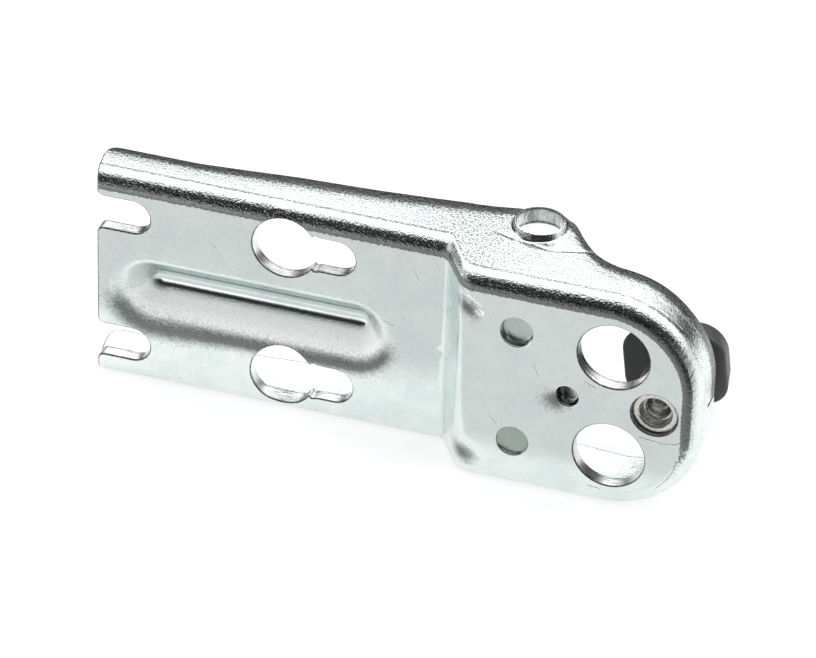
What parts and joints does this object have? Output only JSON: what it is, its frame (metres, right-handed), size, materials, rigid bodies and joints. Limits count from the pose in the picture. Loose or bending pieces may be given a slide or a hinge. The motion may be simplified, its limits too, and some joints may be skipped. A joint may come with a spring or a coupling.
{
  "type": "fridge door hinge",
  "caption": "Stepped, flanged hinge bracket of plated sheet steel with keyholes, a pressed rib and a round head, whose fixed pin carries a turning plastic block.",
  "frame": {"origin": "on the hinge pin's axis, in the plane of the head's outer face", "axes": "+X from the arm's notched end to the head's round end, +Y the way the flanges fold and the pin points, +Z across the width towards the flange that has the hole. The bracket stands on its lower flange, as in the picture; in use the pin (+Y) is vertical."},
  "size_m": [0.1339, 0.0282, 0.0516],
  "materials": {
    "zinc_steel": "bright zinc plate, mottled",
    "pin_steel": "plain turned steel",
    "black_plastic": "moulded, slight sheen"
  },
  "bodies": {
    "bracket": {"hinge_bracket": "zinc_steel", "hinge_pin": "pin_steel"},
    "block": {"pivot_block": "black_plastic"}
  },
  "joints": [
    {"name": "block_turn", "type": "hinge", "parent": "bracket", "child": "block", "pos_m": [0, 0.012, 0], "axis": [0, 1, 0], "continuous": true}
  ]
}
